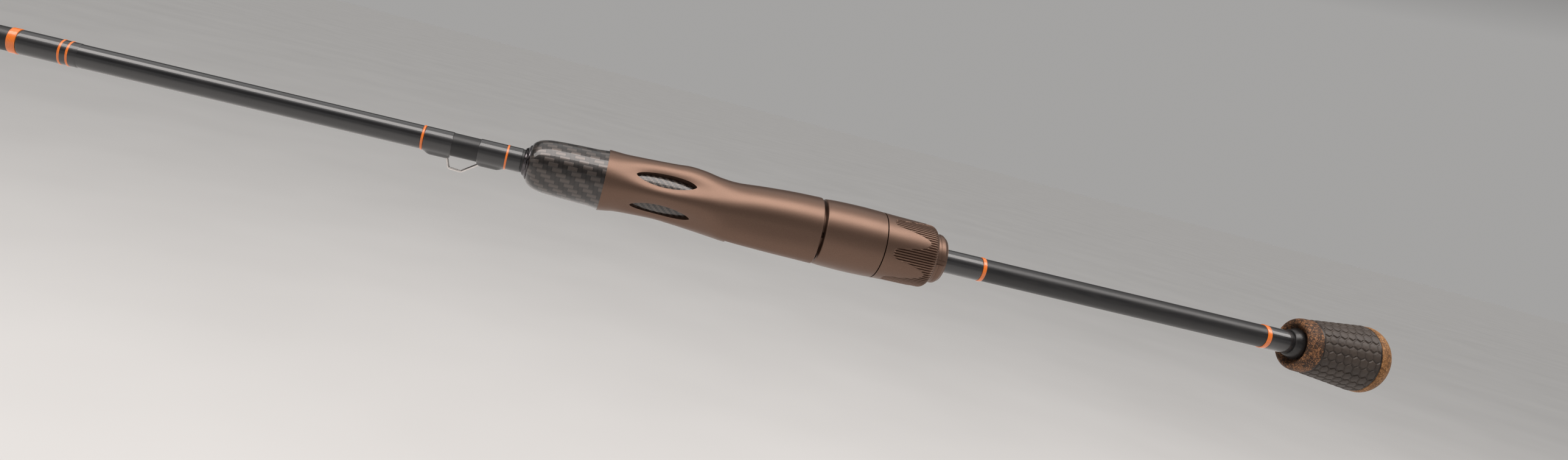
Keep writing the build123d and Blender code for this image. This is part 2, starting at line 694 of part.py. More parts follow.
def guide_wraps(guide, frame):
    """Black thread over each foot, from its near end to a little past its far end."""
    pieces = []
    for side, near, far in guide_feet(guide):
        start = near - side * WRAP_BEFORE_FOOT
        end = far - side * WRAP_PAST_FOOT
        front, rear = max(start, end), min(start, end)
        pieces.append(hump_wrap(front, rear, FOOT_THICKNESS + FOOT_COVER, frame))
    return Compound(children=pieces)


def guide_trim_bands():
    bands = []
    for guide in GUIDES:
        for side, _, far in guide_feet(guide):
            middle = far - side * (WRAP_PAST_FOOT + GUIDE_BAND_WIDTH / 2)
            bands.append(band(middle - GUIDE_BAND_WIDTH / 2, GUIDE_BAND_WIDTH))
    return Compound(children=bands)


# ---- tip top ----
def tip_tube_front():
    return ROD_LENGTH - TIP_TOP_OVERHANG + TIP_TUBE_END


def tip_ring_centre():
    return (-(ROD_LENGTH - TIP_WIRE_R * 2), 0, -TIP_RING_DROP)


def tip_top_tube():
    front = tip_tube_front()
    rear = front - TIP_TUBE_LENGTH
    tube = drum(front, rear, blank_r(rear) + TIP_TUBE_WALL)
    return tube - drum_of_blank(ROD_LENGTH - TIP_TOP_OVERHANG, rear - CUT_PAST)


def tip_top_frame():
    x, _, z = tip_ring_centre()
    ring_r = TIP_RING_SIZE / 2
    reach = ring_r + LEG_ROOT_WIRES * TIP_WIRE_R
    frame = Pos(x, 0, z) * guide_annulus(ring_r + 2 * TIP_WIRE_R, ring_r, TIP_FRAME_LENGTH)
    tube_r = blank_r(tip_tube_front()) + TIP_TUBE_WALL
    root_x = -tip_tube_front() + TIP_ROOT_INSET
    for flank in (-1, 1):
        turn = flank * math.radians(LEG_SPREAD)
        root = (root_x, flank * tube_r * TIP_ROOT_SHARE, -tube_r * TIP_ROOT_SHARE)
        frame += strut(root, (x, reach * math.sin(turn), z + reach * math.cos(turn)), TIP_WIRE_R)
    return frame - tip_top_tube() - drum_of_blank(ROD_LENGTH, ROD_LENGTH - BLANK_REACH)


def tip_top_ring():
    return Pos(*tip_ring_centre()) * guide_annulus(TIP_RING_SIZE / 2, TIP_RING_BORE / 2, TIP_RING_LENGTH)


def tip_wrap():
    front = tip_tube_front() - TIP_TUBE_LENGTH
    return sleeve(front, front - TIP_WRAP_LENGTH, THREAD_THICKNESS)


# ---- every piece by name ----
def all_pieces():
    keeper = hook_keeper()
    ring_rear, _, sleeve_rear = knob_stations()
    pieces = {
        "rod_blank": rod_blank(),
        "label_coat": label_coat(),
        "front_wrap": front_wrap(),
        "front_wide_band": front_wide_band(),
        "front_twin_bands": front_twin_bands(),
        "keeper_bands": keeper_bands(),
        "hook_keeper": keeper,
        "keeper_wrap_front": keeper_wrap_front(keeper),
        "keeper_wrap_rear": keeper_wrap_rear(keeper),
        "front_winding_check": front_winding_check(),
        "foregrip_core": foregrip_core(),
        "foregrip_shell": foregrip_shell(),
        "carbon_arbor_tube": carbon_arbor_tube(),
        "arbor_bushings": arbor_bushings(),
        "reel_seat_body": reel_seat_body(),
        "sliding_hood": sliding_hood(),
        "locking_nut": locking_nut(),
        "seat_rear_wrap": seat_rear_wrap(),
        "seat_rear_band": seat_rear_band(),
        "knob_front_band": knob_front_band(),
        "knob_front_wrap": knob_front_wrap(),
        "knob_winding_check": knob_winding_check(),
        "knob_front_ring": knob_front_ring(),
        "knob_accent_ring_front": accent_ring(ring_rear),
        "knob_core": knob_core(),
        "knob_grip_sleeve": knob_grip_sleeve(),
        "knob_accent_ring_rear": accent_ring(sleeve_rear),
        "knob_end_cap": knob_end_cap(),
        "guide_trim_bands": guide_trim_bands(),
        "tip_top_tube": tip_top_tube(),
        "tip_top_frame": tip_top_frame(),
        "tip_top_ring": tip_top_ring(),
        "tip_wrap": tip_wrap(),
    }
    for number, guide in enumerate(GUIDES, start=1):
        frame = guide_frame(guide)
        pieces[f"guide_{number}_frame"] = frame
        pieces[f"guide_{number}_ring"] = guide_ring(guide)
        pieces[f"guide_{number}_wraps"] = guide_wraps(guide, frame)
    return pieces


if __name__ == "__main__":
    os.makedirs("parts", exist_ok=True)
    for name, piece in all_pieces().items():
        export_step(piece, f"parts/{name}.step")
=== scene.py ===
import math

import bmesh
import bpy
import numpy as np
from mathutils import Matrix, Vector


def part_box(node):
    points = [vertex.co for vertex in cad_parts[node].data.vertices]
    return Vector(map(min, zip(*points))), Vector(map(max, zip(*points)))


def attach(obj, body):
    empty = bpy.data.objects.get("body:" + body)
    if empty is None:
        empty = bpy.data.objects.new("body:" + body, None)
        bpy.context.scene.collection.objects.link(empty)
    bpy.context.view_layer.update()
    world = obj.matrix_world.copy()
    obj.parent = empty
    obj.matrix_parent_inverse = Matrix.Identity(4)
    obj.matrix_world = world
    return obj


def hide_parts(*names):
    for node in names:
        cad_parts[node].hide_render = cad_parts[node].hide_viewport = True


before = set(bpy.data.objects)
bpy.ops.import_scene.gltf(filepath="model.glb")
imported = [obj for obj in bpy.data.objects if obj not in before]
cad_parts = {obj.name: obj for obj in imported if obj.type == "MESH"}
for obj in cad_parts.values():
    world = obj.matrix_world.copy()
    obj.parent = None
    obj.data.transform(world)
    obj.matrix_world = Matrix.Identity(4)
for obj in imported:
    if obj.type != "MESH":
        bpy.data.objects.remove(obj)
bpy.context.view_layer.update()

# All sizes are in metres.  The rod's axis is the X axis, the butt end is at the origin
# and the tip points along -X.
MM = 0.001

# ---- sizes that several pieces share ----
ROD_LENGTH = 1.981
BLANK_BUTT_R = 4.6 * MM
BLANK_TIP_R = 0.75 * MM
BLANK_WALL = 0.5 * MM
THREAD = 0.20 * MM
BAND_RISE = 0.30 * MM
COAT_RISE = 0.10 * MM
SEAT_BORE_R = 7.6 * MM
BARREL_R = 9.1 * MM
FOOT_FLOOR = 8.3 * MM
FOOT_WIDTH = 14.0 * MM

# creases sharper than this many degrees stay sharp
SHARP = 38


def span(node):
    """The x of a node's tip-side end and of its butt-side end."""
    low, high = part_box(node)
    return low.x, high.x


def blank_r(x):
    return BLANK_BUTT_R + (BLANK_TIP_R - BLANK_BUTT_R) * (-x / ROD_LENGTH)


# ---- mesh helpers ----
def finish_mesh(name, mesh, sharp):
    """Give a mesh smooth shading with sharp creases and make it an object."""
    bm = bmesh.new()
    bm.from_mesh(mesh)
    bmesh.ops.remove_doubles(bm, verts=bm.verts, dist=1e-7)
    bmesh.ops.recalc_face_normals(bm, faces=bm.faces)
    bm.to_mesh(mesh)
    bm.free()
    mesh.shade_smooth()
    mesh.set_sharp_from_angle(angle=math.radians(sharp))
    piece = bpy.data.objects.new(name, mesh)
    bpy.context.scene.collection.objects.link(piece)
    return piece


def ring_mesh(name, rows):
    """Join rows of points, each a full turn, into a closed skin whose last row meets the first."""
    count = len(rows)
    around = len(rows[0])
    verts = np.concatenate(rows).tolist()
    faces = []
    for i in range(count):
        a = i * around
        b = ((i + 1) % count) * around
        for j in range(around):
            k = (j + 1) % around
            faces.append((a + j, a + k, b + k, b + j))
    mesh = bpy.data.meshes.new(name)
    mesh.from_pydata(verts, [], faces)
    return mesh


def turn_row(x, radius, angles):
    """A turn of points about the rod's axis; angle 0 faces -Y and 90 degrees faces +Z."""
    return np.stack([np.full_like(angles, x), -np.cos(angles) * radius, np.sin(angles) * radius], axis=1)


def turn_angles(segments):
    return np.linspace(0, 2 * math.pi, segments, endpoint=False)


def signed_turn(angles, middle):
    """The angle from a middle angle, between half a turn back and half a turn on."""
    return (angles - middle + math.pi) % (2 * math.pi) - math.pi


def lathe(name, outline, segments=128):
    """Turn a closed outline of (x, radius) points about the rod's axis."""
    angles = turn_angles(segments)
    rows = [turn_row(x, max(radius, 0.0), angles) for x, radius in outline]
    return finish_mesh(name, ring_mesh(name, rows), SHARP)


def skin(name, xs, outer, inner, segments, sharp=SHARP):
    """A closed sleeve whose outside is outer(x, angles) and whose bore is inner(x)."""
    angles = turn_angles(segments)
    rows = [turn_row(x, outer(x, angles), angles) for x in xs]
    rows += [turn_row(x, np.full_like(angles, inner(x)), angles) for x in reversed(xs)]
    return finish_mesh(name, ring_mesh(name, rows), sharp)


def smooth_line(points, steps):
    """A Catmull-Rom line through the points."""
    pts = np.array(points, float)
    pts = np.vstack([2 * pts[0] - pts[1], pts, 2 * pts[-1] - pts[-2]])
    line = []
    for p0, p1, p2, p3 in zip(pts, pts[1:], pts[2:], pts[3:]):
        for t in np.linspace(0, 1, steps, endpoint=False):
            line.append(0.5 * (2 * p1 + (p2 - p0) * t + (2 * p0 - 5 * p1 + 4 * p2 - p3) * t ** 2
                               + (3 * p1 - p0 - 3 * p2 + p3) * t ** 3))
    line.append(pts[-2])
    return [tuple(p) for p in line]


def arc(cx, cr, radius, start, end, steps):
    """Points of an arc in the (x, radius) plane, angles in degrees."""
    return [(cx + radius * math.cos(math.radians(a)), cr + radius * math.sin(math.radians(a)))
            for a in np.linspace(start, end, steps + 1)]


def smoothstep(low, high, value):
    t = np.clip((value - low) / (high - low), 0, 1)
    return t * t * (3 - 2 * t)


def cut(piece, cutters):
    """Subtract closed cutter meshes from a piece and apply the result."""
    for cutter in cutters:
        modifier = piece.modifiers.new("cut", "BOOLEAN")
        modifier.operation = "DIFFERENCE"
        modifier.solver = "EXACT"
        modifier.object = cutter
    depsgraph = bpy.context.evaluated_depsgraph_get()
    mesh = bpy.data.meshes.new_from_object(piece.evaluated_get(depsgraph))
    piece.modifiers.clear()
    piece.data = mesh
    for cutter in cutters:
        bpy.data.objects.remove(cutter)
    piece.data.shade_smooth()
    piece.data.set_sharp_from_angle(angle=math.radians(SHARP))
    return piece


def link_cutter(bm):
    mesh = bpy.data.meshes.new("cutter")
    bm.to_mesh(mesh)
    bm.free()
    cutter = bpy.data.objects.new("cutter", mesh)
    bpy.context.scene.collection.objects.link(cutter)
    return cutter


def box_cutter(low, high):
    bm = bmesh.new()
    bmesh.ops.create_cube(bm, size=1.0)
    size = Vector(high) - Vector(low)
    middle = (Vector(high) + Vector(low)) / 2
    placed = Matrix.Translation(middle) @ Matrix.Diagonal((*size, 1))
    bmesh.ops.transform(bm, matrix=placed, verts=bm.verts)
    return link_cutter(bm)


def prism_cutter(verts, count):
    """A closed prism; verts holds the loop at one end, then the same loop at the other."""
    faces = [tuple(range(count)), tuple(reversed(range(count, 2 * count)))]
    for i in range(count):
        j = (i + 1) % count
        faces.append((i, i + count, j + count, j))
    bm = bmesh.new()
    points = [bm.verts.new(v) for v in verts]
    for face in faces:
        bm.faces.new([points[i] for i in face])
    bmesh.ops.recalc_face_normals(bm, faces=bm.faces)
    return link_cutter(bm)


# ---- material helpers ----
class Recipe:
    """A material's node tree, with short calls for what the recipes share."""

    def __init__(self, name, **constants):
        self.material = bpy.data.materials.new(name)
        self.material.use_nodes = True
        self.tree = self.material.node_tree
        self.shader = self.tree.nodes["Principled BSDF"]
        for socket, value in constants.items():
            self.shader.inputs[socket.replace("_", " ").title().replace("Ior", "IOR")].default_value = value
        self.place = self.tree.nodes.new("ShaderNodeTexCoord").outputs["Object"]

    def put(self, socket, value):
        if isinstance(value, bpy.types.NodeSocket):
            self.tree.links.new(value, socket)
        else:
            socket.default_value = value

    def math(self, operation, a, b=0.0, clamp=False):
        node = self.tree.nodes.new("ShaderNodeMath")
        node.operation = operation
        node.use_clamp = clamp
        self.put(node.inputs[0], a)
        self.put(node.inputs[1], b)
        return node.outputs[0]

    def split(self):
        node = self.tree.nodes.new("ShaderNodeSeparateXYZ")
        self.put(node.inputs[0], self.place)
        return node.outputs

    def turns(self):
        """How far round the rod's axis a point is, from 0 to 1."""
        _, y, z = self.split()
        angle = self.math("ARCTAN2", z, self.math("MULTIPLY", y, -1.0))
        return self.math("ADD", self.math("DIVIDE", angle, 2 * math.pi), 0.5)

    def stretch(self, x):
        node = self.tree.nodes.new("ShaderNodeMapping")
        node.inputs["Scale"].default_value = (x, 1, 1)
        self.put(node.inputs["Vector"], self.place)
        return node.outputs[0]

    def noise(self, scale, detail=4.0, roughness=0.55, vector=None, distortion=0.0):
        node = self.tree.nodes.new("ShaderNodeTexNoise")
        self.put(node.inputs["Vector"], vector or self.place)
        node.inputs["Scale"].default_value = scale
        node.inputs["Detail"].default_value = detail
        node.inputs["Roughness"].default_value = roughness
        node.inputs["Distortion"].default_value = distortion
        return node.outputs["Fac"]

    def cell_edges(self, scale):
        """The distance to the nearest seam of a cell pattern."""
        node = self.tree.nodes.new("ShaderNodeTexVoronoi")
        node.feature = "DISTANCE_TO_EDGE"
        self.put(node.inputs["Vector"], self.place)
        node.inputs["Scale"].default_value = scale
        return node.outputs["Distance"]

    def ramp(self, factor, *stops):
        node = self.tree.nodes.new("ShaderNodeValToRGB")
        ramp = node.color_ramp
        while len(ramp.elements) < len(stops):
            ramp.elements.new(0.5)
        for element, (place, colour) in zip(ramp.elements, stops):
            element.position = place
            element.color = (*colour, 1)
        self.put(node.inputs[0], factor)
        return node.outputs["Color"]

    def blend(self, factor, a, b):
        node = self.tree.nodes.new("ShaderNodeMix")
        node.data_type = "RGBA"
        self.put(node.inputs[0], factor)
        self.put(node.inputs[6], a if isinstance(a, bpy.types.NodeSocket) else (*a, 1))
        self.put(node.inputs[7], b if isinstance(b, bpy.types.NodeSocket) else (*b, 1))
        return node.outputs[2]

    def span(self, value, low, high):
        """Move a 0 to 1 value to low to high."""
        return self.math("ADD", self.math("MULTIPLY", value, high - low), low)

    def colour(self, value):
        self.put(self.shader.inputs["Base Color"], value)

    def rough(self, value):
        self.put(self.shader.inputs["Roughness"], value)

    def bump(self, height, distance, strength):
        node = self.tree.nodes.new("ShaderNodeBump")
        node.inputs["Distance"].default_value = distance
        node.inputs["Strength"].default_value = strength
        self.put(node.inputs["Height"], height)
        self.tree.links.new(node.outputs[0], self.shader.inputs["Normal"])


def thread_lines(recipe, pitch):
    """A height that rises and falls once for each turn of thread along the rod."""
    x, _, _ = recipe.split()
    wave = recipe.math("SINE", recipe.math("MULTIPLY", x, 2 * math.pi / pitch))
    return recipe.span(wave, 0.5, 1.0)


def satin_blank():
    recipe = Recipe("satin_blank")
    grain = recipe.noise(900.0, 5.0, vector=recipe.stretch(0.12))
    recipe.colour(recipe.ramp(grain, (0.3, (0.010, 0.010, 0.011)), (0.75, (0.020, 0.019, 0.019))))
    recipe.rough(recipe.span(grain, 0.30, 0.44))
    recipe.bump(grain, 0.01 * MM, 0.5)
    return recipe.material


def label_gloss():
    recipe = Recipe("label_gloss", coat_weight=1.0, coat_roughness=0.03)
    drift = recipe.noise(120.0, 2.0)
    recipe.colour(recipe.ramp(drift, (0.3, (0.006, 0.006, 0.007)), (0.8, (0.012, 0.011, 0.012))))
    recipe.rough(recipe.span(drift, 0.24, 0.34))
    recipe.bump(drift, 0.02 * MM, 0.2)
    return recipe.material


def black_thread():
    recipe = Recipe("black_thread", coat_weight=1.0, coat_roughness=0.02)
    lines = thread_lines(recipe, 0.12 * MM)
    # the colour follows the thread's height: darker in the grooves between turns, as painted shade
    recipe.colour(recipe.blend(lines, (0.004, 0.004, 0.005), (0.014, 0.013, 0.014)))
    recipe.rough(recipe.span(recipe.noise(400.0), 0.30, 0.45))
    recipe.bump(lines, 0.02 * MM, 0.5)
    return recipe.material


def orange_thread():
    recipe = Recipe("orange_thread", coat_weight=1.0, coat_roughness=0.03)
    lines = thread_lines(recipe, 0.2 * MM)
    # the colour follows the thread's height: darker in the grooves between turns, as painted shade
    recipe.colour(recipe.blend(lines, (0.62, 0.10, 0.002), (1.0, 0.24, 0.008)))
    recipe.rough(recipe.span(recipe.noise(500.0), 0.38, 0.5))
    recipe.bump(lines, 0.03 * MM, 0.6)
    return recipe.material


def carbon_weave(name, tow, tows_around, painted_sheen_colour, dark):
    """Two-over-two twill: each tow passes over two and under two of those that cross it."""
    recipe = Recipe(name, coat_weight=1.0, coat_roughness=0.02, metallic=0.65)
    x, _, _ = recipe.split()
    along = recipe.math("DIVIDE", x, tow)
    around = recipe.math("MULTIPLY", recipe.turns(), float(tows_around))
    steps = recipe.math("ADD", recipe.math("FLOOR", along), recipe.math("FLOOR", around))
    on_top = recipe.math("LESS_THAN", recipe.math("FLOORED_MODULO", steps, 4.0), 2.0)

    def crown(value):
        centred = recipe.math("SUBTRACT", recipe.math("FRACT", value), 0.5)
        return recipe.math("SUBTRACT", 1.0, recipe.math("MULTIPLY", recipe.math("POWER", centred, 2.0), 4.0))

    across_warp = crown(around)
    across_weft = crown(along)
    difference = recipe.math("SUBTRACT", across_warp, across_weft)
    height = recipe.math("ADD", across_weft, recipe.math("MULTIPLY", difference, on_top))
    fibres = recipe.noise(2500.0, 3.0)
    # tows running one way get the lighter colour and those running the other way the darker: a painted sheen
    # for the light that the two directions reflect differently
    tone = recipe.math("MULTIPLY", on_top, recipe.span(fibres, 0.75, 1.2), clamp=True)
    # the colour darkens to near black towards each tow's low sides, following its height: painted shade where
    # the tows dip
    edge = recipe.span(height, 0.45, 1.0)
    tow_colour_with_sheen = recipe.blend(tone, dark, painted_sheen_colour)
    recipe.colour(recipe.blend(edge, (0.004, 0.004, 0.004), tow_colour_with_sheen))
    recipe.rough(recipe.span(fibres, 0.30, 0.42))
    recipe.bump(height, 0.06 * MM, 0.7)
    return recipe.material


def seat_paint():
    recipe = Recipe("seat_paint", metallic=0.85, coat_weight=0.12, coat_roughness=0.3)
    flake = recipe.noise(3000.0, 2.0)
    drift = recipe.noise(60.0, 2.0)
    base = recipe.ramp(flake, (0.35, (0.152, 0.092, 0.066)), (0.65, (0.170, 0.103, 0.074)))
    recipe.colour(recipe.blend(recipe.span(drift, 0.0, 0.25), base, (0.12, 0.072, 0.052)))
    recipe.rough(recipe.span(drift, 0.36, 0.44))
    recipe.bump(flake, 0.005 * MM, 0.25)
    return recipe.material


def burl_cork(name, ground, middle, fleck):
    """Ground cork pressed with light chips of several sizes and dark seams between them."""
    recipe = Recipe(name, specular_ior_level=0.35)
    drift = recipe.noise(260.0, 3.0)
    chips = recipe.noise(1100.0, 3.0, 0.6, distortion=1.2)
    crumbs = recipe.noise(2600.0, 3.0, 0.65)
    mixed = recipe.math("ADD", recipe.math("MULTIPLY", chips, 0.75), recipe.math("MULTIPLY", drift, 0.25))
    colour = recipe.ramp(mixed, (0.40, ground), (0.50, middle), (0.58, fleck))
    seams = recipe.math("LESS_THAN", recipe.cell_edges(700.0), 0.025)
    darkened = recipe.blend(recipe.math("MULTIPLY", seams, 0.5), colour, tuple(c * 0.5 for c in ground))
    recipe.colour(recipe.blend(recipe.span(crumbs, 0.0, 0.4), darkened, middle))
    recipe.rough(recipe.span(crumbs, 0.5, 0.8))
    depth = recipe.math("SUBTRACT", recipe.math("MULTIPLY", crumbs, 0.6), recipe.math("MULTIPLY", seams, 0.6))
    recipe.bump(depth, 0.12 * MM, 0.7)
    return recipe.material


def grip_rubber():
    recipe = Recipe("grip_rubber", specular_ior_level=0.45)
    skin_noise = recipe.noise(2200.0, 4.0)
    drift = recipe.noise(200.0, 2.0)
    recipe.colour(recipe.ramp(drift, (0.3, (0.036, 0.025, 0.019)), (0.7, (0.053, 0.038, 0.029))))
    recipe.rough(recipe.span(skin_noise, 0.46, 0.62))
    recipe.bump(skin_noise, 0.02 * MM, 0.6)
    return recipe.material


def plain_finish(name, low, high, rough, metallic=0.0, coat=0.0, scale=900.0, relief=0.01 * MM):
    """A finish with small changes of tone, polish and height."""
    recipe = Recipe(name, metallic=metallic, coat_weight=coat, coat_roughness=0.05)
    grain = recipe.noise(scale, 4.0)
    recipe.colour(recipe.ramp(grain, (0.3, low), (0.7, high)))
    recipe.rough(recipe.span(grain, rough * 0.85, rough * 1.2))
    recipe.bump(grain, relief, 0.4)
    return recipe.material


SATIN_BLANK = satin_blank()
LABEL_GLOSS = label_gloss()
BLACK_THREAD = black_thread()
ORANGE_THREAD = orange_thread()
# in each weave the first colour is the painted sheen of the tows on top, the second the colour of the tows
# under them
CARBON_TWILL = carbon_weave("carbon_twill", 1.6 * MM, 40, (0.085, 0.068, 0.060), (0.026, 0.021, 0.019))
CARBON_FINE = carbon_weave("carbon_fine", 0.6 * MM, 80, (0.085, 0.068, 0.058), (0.020, 0.016, 0.014))
SEAT_PAINT = seat_paint()
DARK_CORK = burl_cork("dark_burl_cork", (0.018, 0.010, 0.006), (0.060, 0.027, 0.012), (0.34, 0.150, 0.060))
GOLD_CORK = burl_cork("gold_burl_cork", (0.080, 0.034, 0.010), (0.22, 0.098, 0.030), (0.42, 0.21, 0.080))
GRIP_RUBBER = grip_rubber()
BLACK_RUBBER = plain_finish("black_rubber", (0.010, 0.009, 0.009), (0.018, 0.016, 0.016), 0.28)
DARK_METAL = plain_finish("dark_metal", (0.06, 0.055, 0.058), (0.12, 0.11, 0.115), 0.16, metallic=1.0)
STEEL = plain_finish("steel_wire", (0.62, 0.58, 0.56), (0.75, 0.71, 0.68), 0.2, metallic=1.0)
GUIDE_METAL = plain_finish("guide_metal", (0.07, 0.068, 0.07), (0.11, 0.105, 0.105), 0.22, metallic=1.0)
CERAMIC = plain_finish("ceramic", (0.02, 0.02, 0.022), (0.035, 0.034, 0.036), 0.1, coat=1.0)
FOAM = plain_finish("foam", (0.02, 0.02, 0.02), (0.05, 0.05, 0.05), 0.8, scale=2500.0, relief=0.1 * MM)


def dress(piece, body, material, slot, *nodes):
    """Give a new piece its material and its body, and hide the CAD nodes it stands for. The slot argument is
    not used.
    """
    piece.data.materials.clear()
    piece.data.materials.append(material)
    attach(piece, body)
    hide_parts(*nodes)


def paint_node(node, material):
    """Give a CAD node that stays a better material."""
    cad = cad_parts[node]
    if cad.material_slots:
        for holder in cad.material_slots:
            holder.material = material
    else:
        cad.data.materials.append(material)


# ---- blank, coat, wraps and bands ----
# how far a wrap's bore lies under the blank's surface
SUNK = 0.02 * MM
COAT_EDGE = 0.6 * MM
WRAP_EDGE = 0.7 * MM
KNOB_WRAP_EDGE = 0.6 * MM
WIDE_BAND_EDGE = 0.25 * MM
THIN_BAND_EDGE = 0.3 * MM
THIN_BAND_WIDTH = 0.8 * MM
EDGE_STEPS = 6


def end_dome(x, front, rear, edge):
    """0 at the ends of a wrap, rising round to 1 over the length of its edge."""
    inset = np.clip(min(x - front, rear - x) / edge, 0, 1)
    return math.sqrt(max(0.0, 1 - (1 - inset) ** 2))


def end_steps(front, rear, edge, middle):
    """Stations along a wrap, close together where its ends round over."""
    near = [edge * (1 - math.cos(math.pi / 2 * i / EDGE_STEPS)) for i in range(EDGE_STEPS + 1)]
    run = np.linspace(front + edge, rear - edge, middle + 2)[1:-1].tolist()
    return [front + d for d in near] + run + [rear - d for d in reversed(near)]


def wrap_sleeve(name, front, rear, rise, edge, hump=None, middle=2):
    """Thread and clear finish round the blank; hump(x, angles) adds what lies under the thread."""
    def outer(x, angles):
        plain = blank_r(x) + rise * end_dome(x, front, rear, edge)
        extra = hump(x, angles) * end_dome(x, front, rear, 4 * edge) if hump else 0.0
        return np.full_like(angles, plain) + extra
    return skin(name, end_steps(front, rear, edge, middle), outer, lambda x: blank_r(x) - SUNK, 128)


def foot_hump(front, rear, height, half_angle, slope):
    """A low ridge along the underside where a wire's foot lies beneath the thread."""
    def rise(x, angles):
        inside = smoothstep(front - slope, front, x) * (1 - smoothstep(rear, rear + slope, x))
        turn = signed_turn(angles, 1.5 * math.pi)
        return height * inside * np.exp(-(turn / math.radians(half_angle)) ** 2)
    return rise


def make_blank():
    front, rear = span("rod_blank")
    front_r = blank_r(front)
    rear_r = blank_r(rear)
    outline = [(front, front_r - BLANK_WALL), (front, front_r), (rear, rear_r), (rear, rear_r - BLANK_WALL)]
    dress(lathe("blank_tube", outline), "rod", SATIN_BLANK, "blank_satin", "rod_blank")


def make_finishing():
    front, rear = span("label_coat")
    coat = wrap_sleeve("label_finish", front, rear, COAT_RISE, COAT_EDGE)
    dress(coat, "rod", LABEL_GLOSS, "clear_gloss", "label_coat")
    # the front wrap runs on a little under the coat
    wraps = (
        ("front_wrap", "front_thread", 0.3 * MM, WRAP_EDGE),
        ("seat_rear_wrap", "seat_rear_thread", 0.0, WRAP_EDGE),
        ("knob_front_wrap", "knob_front_thread", 0.0, KNOB_WRAP_EDGE),
    )
    for node, name, longer, edge in wraps:
        front, rear = span(node)
        piece = wrap_sleeve(name, front, rear + longer, THREAD, edge)
        dress(piece, "rod", BLACK_THREAD, "black_wrap", node)
    bands = (
        ("front_wide_band", "wide_orange"),
        ("seat_rear_band", "seat_orange"),
        ("knob_front_band", "knob_orange"),
    )
    for node, name in bands:
        front, rear = span(node)
        piece = wrap_sleeve(name, front, rear, BAND_RISE, WIDE_BAND_EDGE)
        dress(piece, "rod", ORANGE_THREAD, "orange_thread", node)


def make_band_pairs():
    """Thin bands that share a node, one at each end of the node's box."""
    for node, name in (("front_twin_bands", "twin_orange"), ("keeper_bands", "keeper_orange")):
        low, high = span(node)
        for number, front in enumerate((low, high - THIN_BAND_WIDTH), start=1):
            rear = front + THIN_BAND_WIDTH
            piece = wrap_sleeve(f"{name}_{number}", front, rear, BAND_RISE, THIN_BAND_EDGE)
            dress(piece, "rod", ORANGE_THREAD, "orange_thread", node)


# ---- hook keeper ----
KEEPER_WIRE_R = 0.42 * MM
KEEPER_HUMP_RISE = 2 * KEEPER_WIRE_R + THREAD
KEEPER_HUMP_ANGLE = 17.0
KEEPER_HUMP_SLOPE = 3.0 * MM
KEEPER_WRAP_EDGE = 0.4 * MM
KEEPER_WRAP_STEPS = 24


def make_keeper():
    """The wire is the CAD piece; its feet lie under thread that swells over them."""
    paint_node("hook_keeper", STEEL)
    wire_front, wire_rear = span("hook_keeper")
    front, rear = span("keeper_wrap_front")
    keeper_wrap("keeper_front_thread", front, rear, wire_front, rear, "keeper_wrap_front")
    front, rear = span("keeper_wrap_rear")
    keeper_wrap("keeper_rear_thread", front, rear, front, wire_rear, "keeper_wrap_rear")


def keeper_wrap(name, front, rear, hump_front, hump_rear, node):
    hump = foot_hump(hump_front, hump_rear, KEEPER_HUMP_RISE, KEEPER_HUMP_ANGLE, KEEPER_HUMP_SLOPE)
    piece = wrap_sleeve(name, front, rear, THREAD, KEEPER_WRAP_EDGE, hump, KEEPER_WRAP_STEPS)
    dress(piece, "rod", BLACK_THREAD, "black_wrap", node)


# ---- winding check and foregrip ----
FRONT_CHECK_LIP_R = 5.9 * MM
# share of the foregrip's length from its front, and the radius there in millimetres
FOREGRIP_SHAPE = (
    (0.0, 5.7), (0.012, 6.6), (0.05, 7.55), (0.12, 8.45), (0.26, 9.15), (0.55, 9.6), (0.85, 9.88),
    (1.0, 10.25),
)


def make_foregrip():
    front, rear = span("front_winding_check")
    inner = blank_r(front) - 0.05 * MM
    lip = FRONT_CHECK_LIP_R
    outline = smooth_line([
        (front, inner + 0.5 * MM),
        (front + 0.25 * MM, inner + 0.75 * MM),
        (front + 0.9 * MM, inner + 1.15 * MM),
        (rear - 0.35 * MM, lip - 0.15 * MM),
        (rear, lip),
    ], 5)
    outline += [(rear, inner), (front, inner)]
    dress(lathe("check_ring", outline), "rod", DARK_METAL, "dark_metal", "front_winding_check")

    front, rear = span("foregrip_shell")
    length = rear - front
    line = smooth_line([(front + share * length, radius * MM) for share, radius in FOREGRIP_SHAPE], 8)
    outline = line + [(rear, SEAT_BORE_R), (front + 0.5 * MM, blank_r(front)), (front, blank_r(front))]
    dress(lathe("foregrip_carbon", outline, 160), "rod", CARBON_TWILL, "carbon_weave", "foregrip_shell")


# ---- reel seat ----
# share of the seat body's length from its front, and its height over and under the axis in millimetres
SEAT_SHAPE = (
    (0.0, 10.65, 10.5), (0.035, 10.55, 10.15), (0.09, 10.5, 9.6), (0.24, 11.1, 9.3), (0.31, 11.4, 9.55),
    (0.37, 11.75, 9.9), (0.44, 11.35, 10.35), (0.52, 10.35, 10.85), (0.60, 10.05, 11.1),
    (0.72, 10.85, 11.25), (0.86, 11.6, 11.5), (1.0, 11.95, 11.9),
)
HOOD_GAP = 1.2 * MM
WINDOW_MIDDLE = -301.4 * MM
WINDOW_HALF_LENGTH = 10.45 * MM
WINDOW_HALF_WIDTH = 2.5 * MM
WINDOW_ANGLES = (38.0, -38.0, 142.0, 218.0)
WINDOW_TIP_POWER = 1.25
# the window prism's two ends: how far out from the axis, and how much wider than the window
WINDOW_ENDS = ((6.8 * MM, 0.92), (14.0 * MM, 1.3))
WINDOW_STEPS = 28
SCOOP_FRONT_LENGTH = 19.0 * MM
SCOOP_REAR_LENGTH = 25.0 * MM
SCOOP_HALF_WIDTH = 6.0 * MM
